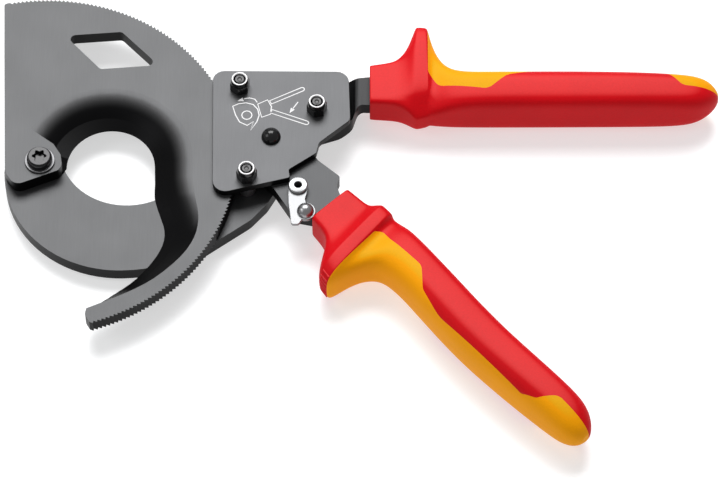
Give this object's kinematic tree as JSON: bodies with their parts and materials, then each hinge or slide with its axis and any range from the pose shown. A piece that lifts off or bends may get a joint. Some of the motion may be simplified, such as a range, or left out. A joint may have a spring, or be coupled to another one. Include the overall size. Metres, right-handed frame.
{
  "type": "ratchet cable cutter",
  "caption": "Two-handed ratchet cable cutter with a hooked, toothed moving blade, a fixed crescent jaw and two-colour insulated grips.",
  "frame": {"origin": "Axis of the jaw pivot, on the flat back face of the fixed jaw plate.", "axes": "+X from the jaw pivot towards the fixed grip, +Y towards the back of the blade and the palm side of the fixed grip, +Z from the back face to the cover plate and its nuts."},
  "size_m": [0.2828, 0.2002, 0.0237],
  "materials": {
    "plate_steel": "bead-blasted and burnished steel plate, mid grey, satin",
    "blade_steel": "satin grey hardened tool steel with a dark ground bevel",
    "black_steel": "black oxide fasteners, satin",
    "bright_steel": "bright nickel plated steel",
    "plain_steel": "plain turned steel",
    "spring_steel": "drawn spring wire",
    "bronze": "sintered bronze",
    "nylon": "white nylon insert",
    "red_grip": "moulded red insulating plastic, fine eroded texture",
    "yellow_grip": "soft orange-yellow overmoulded elastomer, fine eroded texture"
  },
  "bodies": {
    "frame": {"jaw_plate": "plate_steel", "pivot_sleeve": "plain_steel", "pivot_washer": "plain_steel", "pivot_screw": "black_steel", "cover_plate": "plate_steel", "housing_bolts": "black_steel", "spacer_sleeves": "plain_steel", "lock_nuts": "black_steel", "nut_inserts": "nylon", "fulcrum_rivet": "black_steel", "holding_pawl_pin": "plain_steel", "holding_pawl_spring": "spring_steel", "opening_spring": "spring_steel", "spring_post": "plain_steel", "fixed_grip_core": "red_grip", "fixed_grip_pad": "yellow_grip"},
    "blade": {"moving_blade": "blade_steel", "blade_bush": "bronze"},
    "handle": {"handle_lever": "plate_steel", "lever_bush": "bronze", "drive_pawl_pin": "plain_steel", "drive_pawl_spring": "spring_steel", "latch_rivet": "bright_steel", "latch_washer": "bright_steel", "moving_grip_core": "red_grip", "moving_grip_pad": "yellow_grip"},
    "drive_pawl": {"drive_pawl": "plain_steel"},
    "holding_pawl": {"holding_pawl": "plain_steel"},
    "latch": {"latch_plate": "bright_steel", "latch_ball": "bright_steel"}
  },
  "joints": [
    {"name": "blade_pivot", "type": "hinge", "parent": "frame", "child": "blade", "pos_m": [0, 0, 0.009], "axis": [0, 0, 1], "range_deg": [-75.2, 150.41]},
    {"name": "handle_pivot", "type": "hinge", "parent": "frame", "child": "handle", "pos_m": [0.09, 0.0092, 0.009], "axis": [0, 0, 1], "range_deg": [0, 44], "stiffness_Nm_per_rad": 0.4, "deforming": ["opening_spring"]},
    {"name": "drive_pawl_pivot", "type": "hinge", "parent": "handle", "child": "drive_pawl", "pos_m": [0.0826, 0.0148, 0.009], "axis": [0, 0, 1], "range_deg": [-30, 0], "deforming": ["drive_pawl_spring"]},
    {"name": "holding_pawl_pivot", "type": "hinge", "parent": "frame", "child": "holding_pawl", "pos_m": [0.084, 0.0295, 0.009], "axis": [0, 0, 1], "range_deg": [-4.7, 0], "deforming": ["holding_pawl_spring"]},
    {"name": "latch_pivot", "type": "hinge", "parent": "handle", "child": "latch", "pos_m": [0.1007, -0.0129, 0.0126], "axis": [0, 0, 1], "range_deg": [-45, 0]}
  ],
  "couplings": [
    {"joint": "drive_pawl_pivot", "follows": "handle_pivot", "ratio": -0.65},
    {"joint": "holding_pawl_pivot", "follows": "handle_pivot", "ratio": -0.104}
  ]
}
